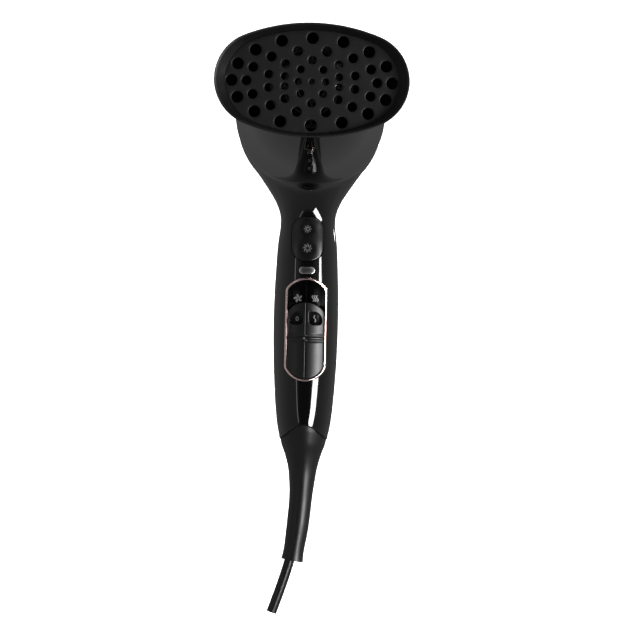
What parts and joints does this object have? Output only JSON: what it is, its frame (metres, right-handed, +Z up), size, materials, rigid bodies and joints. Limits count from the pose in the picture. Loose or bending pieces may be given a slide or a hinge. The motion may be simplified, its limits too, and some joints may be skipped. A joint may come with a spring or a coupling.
{
  "type": "hand-held hair dryer with oval diffuser",
  "caption": "Pistol-grip hair dryer with a round barrel, a flared handle, slide switches in an oblong trim ring, and an oval perforated diffuser on its nozzle.",
  "frame": {"origin": "on the barrel's axis, where the handle's centre plane crosses it", "axes": "X to the right when the diffuser is faced, air leaves towards -Y, +Z up, handle along -Z"},
  "size_m": [0.1104, 0.25, 0.3696],
  "materials": {
    "gloss_black": "high gloss black housing plastic",
    "panel_black": "gloss black switch field",
    "cap_black": "semi gloss black keys and slides",
    "diffuser_black": "fine matt black heat resistant plastic",
    "nozzle_black": "satin black heat resistant plastic",
    "rose_gold": "rose gold plated trim",
    "silver": "bright plated badge",
    "inner_plastic": "plain inner moulding",
    "boot_rubber": "satin black flexible boot",
    "cord_rubber": "black cord sheath",
    "core_blue_brown": "insulated conductor cores",
    "steel": "machined steel",
    "lamination": "laminated electrical steel",
    "copper": "enamelled copper winding",
    "brass": "brass strip",
    "carbon": "carbon",
    "mica": "mica sheet",
    "heating_wire": "resistance wire",
    "board_green": "glass fibre circuit board",
    "switch_case": "switch body plastic",
    "mesh_steel": "fine filter mesh"
  },
  "bodies": {
    "housing": {"housing_front": "gloss_black", "housing_rear": "gloss_black", "housing_screws": "steel", "nozzle_ring": "nozzle_black", "outlet_grille": "nozzle_black", "inlet_frame": "inner_plastic", "motor_duct": "inner_plastic", "stator_core": "lamination", "field_coils": "copper", "rear_bracket": "inner_plastic", "front_bracket": "inner_plastic", "rear_bearing": "steel", "front_bearing": "steel", "brush_holders": "brass", "carbon_brushes": "carbon", "heat_shield": "mica", "heater_frame": "mica", "heater_coil_high": "heating_wire", "heater_coil_low": "heating_wire", "thermostat": "brass", "thermal_fuse": "steel", "trim_ring": "rose_gold", "switch_panel": "panel_black", "speed_switch": "switch_case", "heat_switch": "switch_case", "rocker_pin": "steel", "rocker_cradle": "inner_plastic", "boost_switches": "switch_case", "badge_plate": "silver", "control_board": "board_green", "suppressor_capacitor": "switch_case", "ion_generator": "switch_case", "choke_coil": "copper", "strain_relief": "boot_rubber", "power_cord": "cord_rubber", "cord_cores": "core_blue_brown", "cord_clamp": "inner_plastic"},
    "diffuser": {"diffuser_shell": "diffuser_black", "diffuser_plate": "diffuser_black"},
    "filter_cap": {"filter_cap_ring": "rose_gold", "filter_cap_skirt": "inner_plastic", "inlet_grille": "gloss_black", "filter_mesh": "mesh_steel"},
    "rotor": {"motor_shaft": "steel", "armature_core": "lamination", "armature_windings": "copper", "commutator": "copper", "fan_impeller": "inner_plastic", "fan_nut": "brass"},
    "speed_slider": {"speed_cap": "cap_black", "speed_carriage": "switch_case"},
    "heat_slider": {"heat_cap": "cap_black", "heat_carriage": "switch_case"},
    "rocker": {"boost_rocker": "cap_black"}
  },
  "joints": [
    {"name": "fan_spin", "type": "hinge", "parent": "housing", "child": "rotor", "pos_m": [0, 0, 0], "axis": [0, 1, 0], "continuous": true},
    {"name": "diffuser_turn", "type": "hinge", "parent": "housing", "child": "diffuser", "pos_m": [0, -0.138, 0], "axis": [0, 1, 0], "continuous": true},
    {"name": "filter_cap_twist", "type": "hinge", "parent": "housing", "child": "filter_cap", "pos_m": [0, 0.07, 0], "axis": [0, 1, 0], "range_deg": [0, 25]},
    {"name": "speed_slide", "type": "slide", "parent": "housing", "child": "speed_slider", "axis": [0, 0, 1], "range_m": [0, 0.013]},
    {"name": "heat_slide", "type": "slide", "parent": "housing", "child": "heat_slider", "axis": [0, 0, 1], "range_m": [0, 0.013]},
    {"name": "boost_rock", "type": "hinge", "parent": "housing", "child": "rocker", "pos_m": [0, -0.0123, -0.0799], "axis": [1, 0, 0], "range_deg": [-3, 3]}
  ]
}
